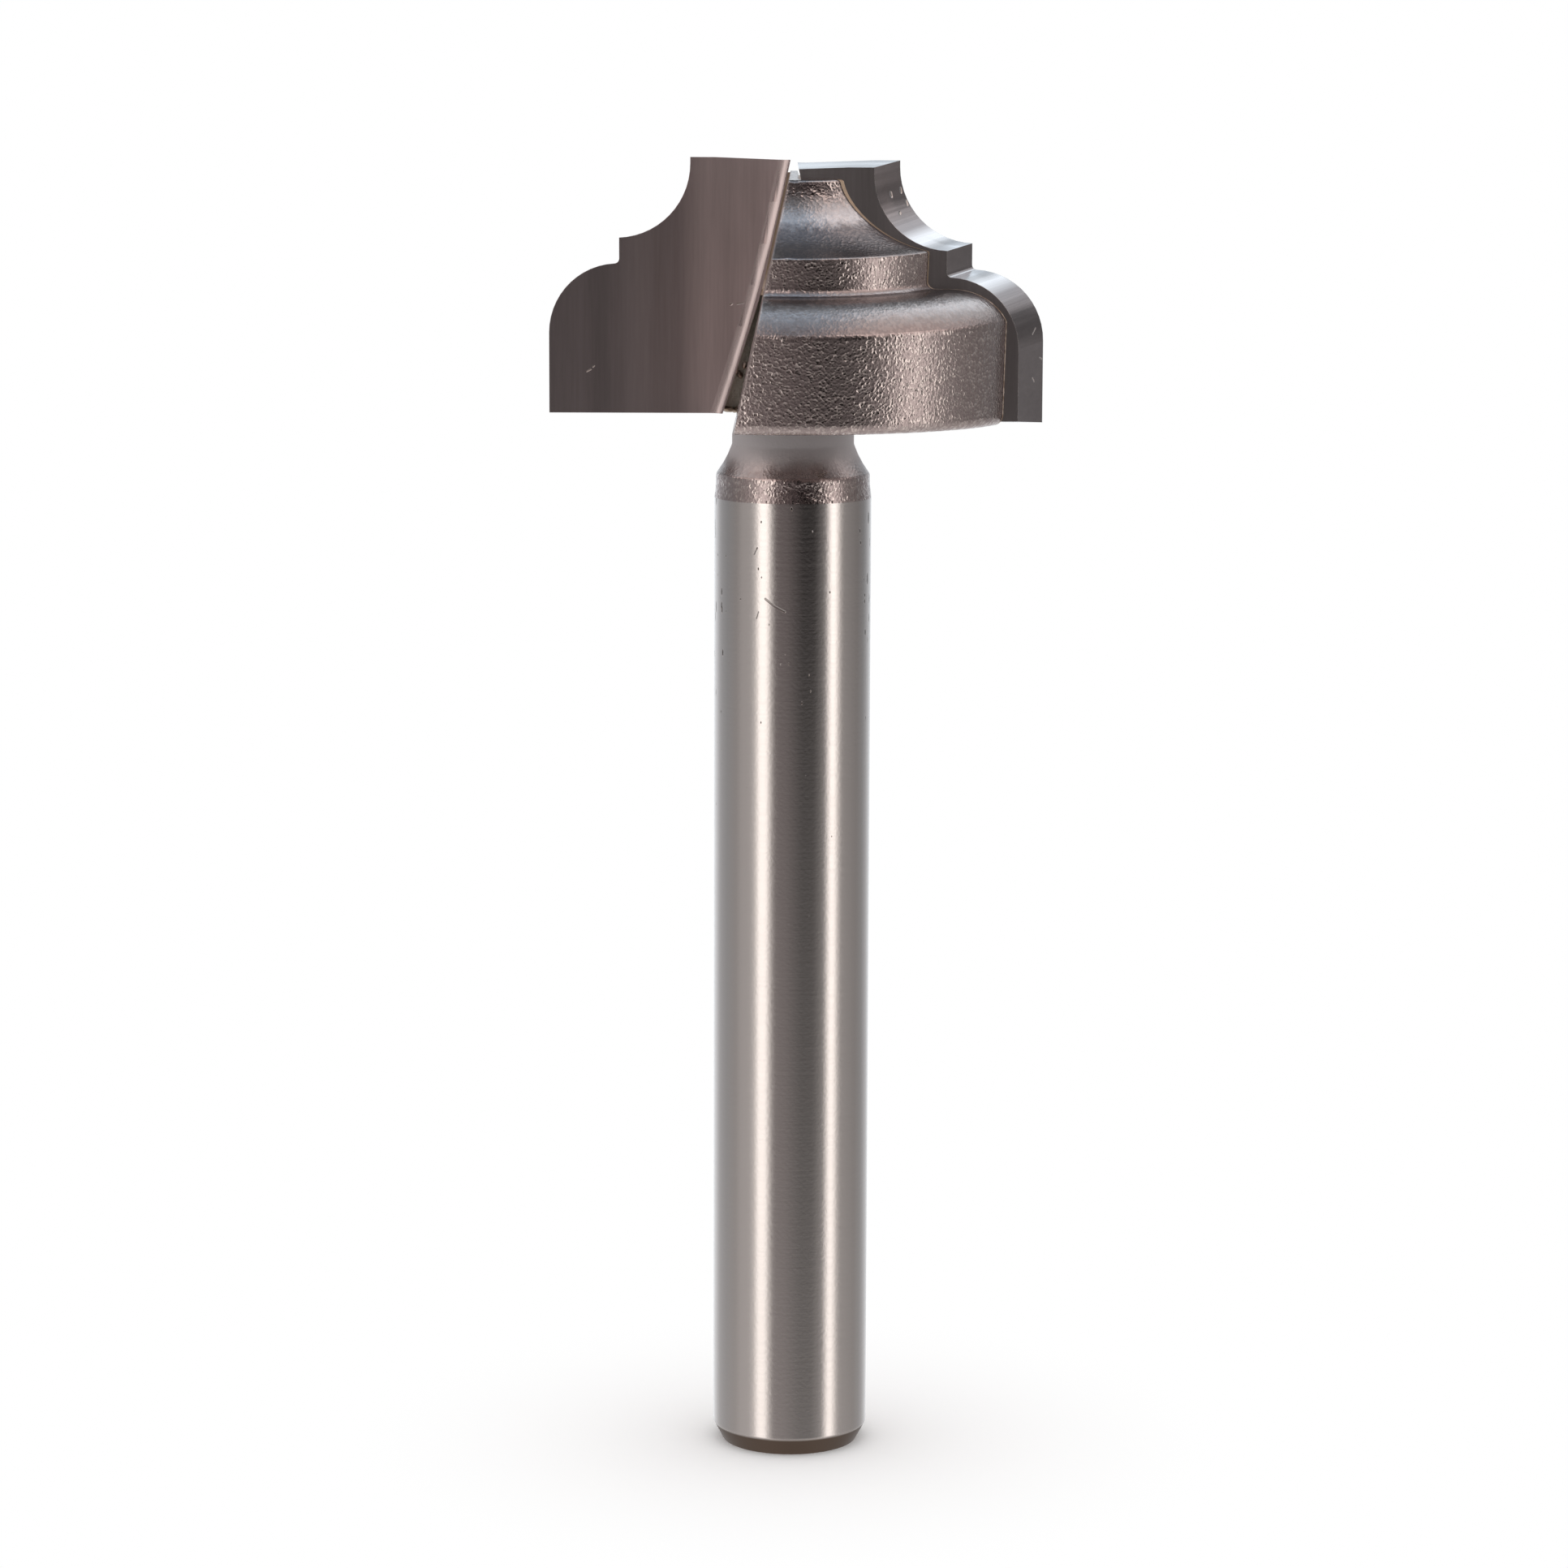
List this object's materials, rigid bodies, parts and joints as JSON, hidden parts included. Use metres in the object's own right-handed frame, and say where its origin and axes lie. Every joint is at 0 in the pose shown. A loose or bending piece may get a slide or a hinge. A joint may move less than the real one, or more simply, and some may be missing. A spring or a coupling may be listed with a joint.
{
  "type": "router bit",
  "caption": "Plunging profile router bit: ground steel shank, necked and turned steel head with milled gullets, and brazed carbide tips that cut a bead, a step and a cove.",
  "frame": {"origin": "centre of the shank's end face", "axes": "+Z along the axis from the shank end to the cutter, X along the rake face of the first tip, which lies on the -X side and faces -Y"},
  "size_m": [0.0198, 0.0182, 0.0529],
  "materials": {
    "steel": "ground bright on the shank, bead blasted on the neck and head",
    "carbide": "ground",
    "braze": "silver braze, as flowed"
  },
  "bodies": {
    "root": {"steel_body": "steel", "carbide_tip_1": "carbide", "carbide_tip_2": "carbide", "braze_layer_1": "braze", "braze_layer_2": "braze"}
  },
  "joints": []
}
